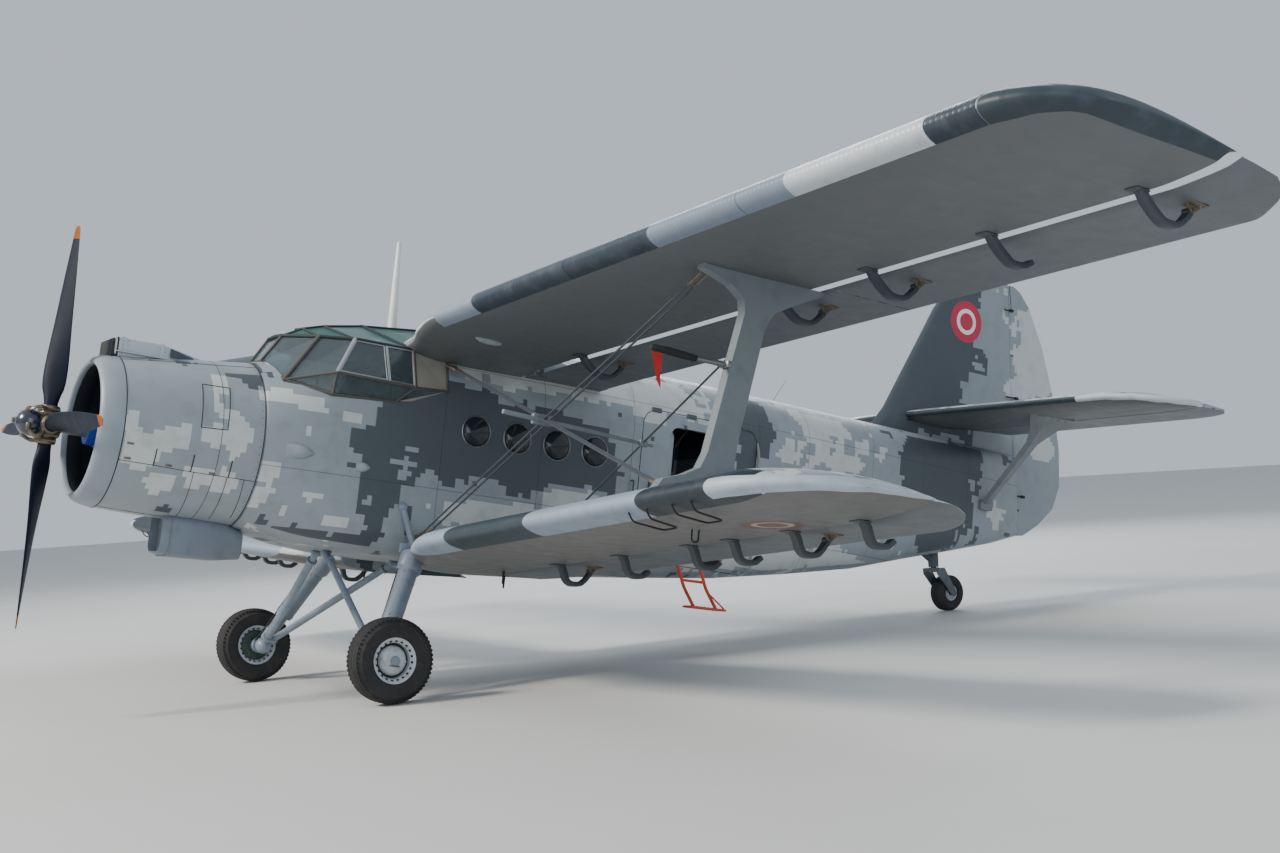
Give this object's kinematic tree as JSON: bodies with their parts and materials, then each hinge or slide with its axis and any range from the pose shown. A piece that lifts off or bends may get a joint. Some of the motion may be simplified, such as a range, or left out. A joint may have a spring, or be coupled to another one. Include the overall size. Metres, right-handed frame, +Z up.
{
  "type": "single-engine utility biplane",
  "caption": "Parked radial-engined utility biplane with hinged control surfaces, flaps and door, free propeller and wheels, hollow cabin and glazed cockpit.",
  "frame": {"origin": "centre of the overall footprint, on the ground under the tyres", "axes": "+X towards the nose, +Y to port, +Z up; the airframe axis is nose-up by 10.8 degrees as parked"},
  "size_m": [13.0684, 18.1654, 4.3991],
  "materials": {
    "camouflage_paint": "semi-gloss aircraft paint in grey blocks",
    "pale_paint": "semi-gloss pale grey paint",
    "leading_edge": "smooth grey paint",
    "canopy_paint": "dark teal paint",
    "window_glass": "clear glazing",
    "blade_paint": "dark blue paint with yellow tips",
    "hub_metal": "bronze-toned steel",
    "engine_metal": "cast and finned alloy",
    "gear_paint": "plain grey-blue paint",
    "exhaust_steel": "heat-stained steel",
    "rigging_steel": "dark steel tie rods",
    "tyre_rubber": "worn black rubber",
    "rim_paint": "pale grey wheel paint",
    "cabin_trim": "grey interior paint",
    "seat_cover": "brown seat cloth",
    "panel_paint": "matt black panel",
    "ladder_paint": "red-orange paint"
  },
  "bodies": {
    "airframe": {"boarding_ladder": "ladder_paint", "bracing_L": "rigging_steel", "bracing_R": "rigging_steel", "cabin_shell": "camouflage_paint", "canopy_frame": "canopy_paint", "canopy_glass": "window_glass", "carburettor_intake": "pale_paint", "cargo_door": "camouflage_paint", "cowl_ring": "camouflage_paint", "cowl_shell": "pale_paint", "cowl_skirt": "pale_paint", "engine": "engine_metal", "exhaust_pipe": "exhaust_steel", "fin": "camouflage_paint", "floor_and_bulkhead": "cabin_trim", "gear_vee_L": "gear_paint", "gear_vee_R": "gear_paint", "instrument_panel": "panel_paint", "interplane_strut_L": "gear_paint", "interplane_strut_R": "gear_paint", "lower_wing_L": "camouflage_paint", "lower_wing_R": "camouflage_paint", "nose_fuselage": "camouflage_paint", "oil_cooler_scoop": "camouflage_paint", "pilot_seat_L": "seat_cover", "pilot_seat_R": "seat_cover", "porthole_panes_L": "window_glass", "porthole_panes_R": "window_glass", "rear_fuselage": "camouflage_paint", "shock_strut_L": "gear_paint", "shock_strut_R": "gear_paint", "slat_L": "leading_edge", "slat_R": "leading_edge", "stabiliser": "pale_paint", "tail_leg": "gear_paint", "tail_strut_L": "gear_paint", "tail_strut_R": "gear_paint", "upper_wing_L": "camouflage_paint", "upper_wing_R": "camouflage_paint"},
    "propeller": {"propeller_hub": "hub_metal", "propeller_blade_1": "blade_paint", "propeller_blade_2": "blade_paint", "propeller_blade_3": "blade_paint", "propeller_blade_4": "blade_paint"},
    "main_wheel_L": {"main_rim_L": "rim_paint", "main_tyre_L": "tyre_rubber"},
    "main_wheel_R": {"main_rim_R": "rim_paint", "main_tyre_R": "tyre_rubber"},
    "tail_fork": {"tail_fork": "gear_paint"},
    "tail_wheel": {"tail_rim": "rim_paint", "tail_tyre": "tyre_rubber"},
    "rudder": {"rudder": "pale_paint"},
    "elevator": {"elevator": "pale_paint"},
    "aileron_L": {"aileron_L": "pale_paint"},
    "aileron_R": {"aileron_R": "pale_paint"},
    "upper_flap_L": {"upper_flap_L": "pale_paint"},
    "upper_flap_R": {"upper_flap_R": "pale_paint"},
    "lower_flap_L": {"lower_flap_L": "pale_paint"},
    "lower_flap_R": {"lower_flap_R": "pale_paint"},
    "passenger_door": {"passenger_door": "camouflage_paint"}
  },
  "joints": [
    {"name": "propeller_spin", "type": "hinge", "parent": "airframe", "child": "propeller", "pos_m": [6.1883, 0, 2.6306], "axis": [0.9823, 0, 0.1874], "continuous": true},
    {"name": "main_wheel_spin_L", "type": "hinge", "parent": "airframe", "child": "main_wheel_L", "pos_m": [3.815, 1.68, 0.38], "axis": [0, 1, 0], "continuous": true},
    {"name": "main_wheel_spin_R", "type": "hinge", "parent": "airframe", "child": "main_wheel_R", "pos_m": [3.815, -1.68, 0.38], "axis": [0, 1, 0], "continuous": true},
    {"name": "tail_fork_swivel", "type": "hinge", "parent": "airframe", "child": "tail_fork", "pos_m": [-4.2004, 0, 0.55], "axis": [0, 0, 1], "range_deg": [-90, 90]},
    {"name": "tail_wheel_spin", "type": "hinge", "parent": "tail_fork", "child": "tail_wheel", "pos_m": [-4.3904, 0, 0.22], "axis": [0, 1, 0], "continuous": true},
    {"name": "rudder_hinge", "type": "hinge", "parent": "airframe", "child": "rudder", "pos_m": [-5.6245, 0, 0.819], "axis": [-0.0663, 0, 0.9978], "range_deg": [-28, 28]},
    {"name": "elevator_hinge", "type": "hinge", "parent": "airframe", "child": "elevator", "pos_m": [-4.9358, 0, 2.225], "axis": [0, 1, 0], "range_deg": [-22.5, 42.5]},
    {"name": "aileron_hinge_L", "type": "hinge", "parent": "airframe", "child": "aileron_L", "pos_m": [1.4818, 0.0091, 2.7693], "axis": [-0.0097, 0.9986, 0.0511], "range_deg": [-14, 30]},
    {"name": "aileron_hinge_R", "type": "hinge", "parent": "airframe", "child": "aileron_R", "pos_m": [1.4818, -0.0091, 2.7693], "axis": [0.0097, 0.9986, -0.0511], "range_deg": [-14, 30]},
    {"name": "upper_flap_hinge_L", "type": "hinge", "parent": "airframe", "child": "upper_flap_L", "pos_m": [1.4818, 0.0091, 2.7693], "axis": [0.0097, -0.9986, -0.0511], "range_deg": [0, 40]},
    {"name": "upper_flap_hinge_R", "type": "hinge", "parent": "airframe", "child": "upper_flap_R", "pos_m": [1.4818, -0.0091, 2.7693], "axis": [-0.0097, -0.9986, 0.0511], "range_deg": [0, 40]},
    {"name": "lower_flap_hinge_L", "type": "hinge", "parent": "airframe", "child": "lower_flap_L", "pos_m": [2.2157, 0.0082, 0.8478], "axis": [0.014, -0.9972, -0.0731], "range_deg": [0, 40]},
    {"name": "lower_flap_hinge_R", "type": "hinge", "parent": "airframe", "child": "lower_flap_R", "pos_m": [2.2157, -0.0082, 0.8478], "axis": [-0.014, -0.9972, 0.0731], "range_deg": [0, 40]},
    {"name": "passenger_door_hinge", "type": "hinge", "parent": "airframe", "child": "passenger_door", "pos_m": [0.6186, 0.812, -0.2297], "axis": [0.1874, 0, -0.9823], "range_deg": [0, 92]}
  ],
  "couplings": [
    {"joint": "upper_flap_hinge_R", "follows": "upper_flap_hinge_L", "ratio": 1},
    {"joint": "lower_flap_hinge_L", "follows": "upper_flap_hinge_L", "ratio": 1},
    {"joint": "lower_flap_hinge_R", "follows": "upper_flap_hinge_L", "ratio": 1}
  ]
}
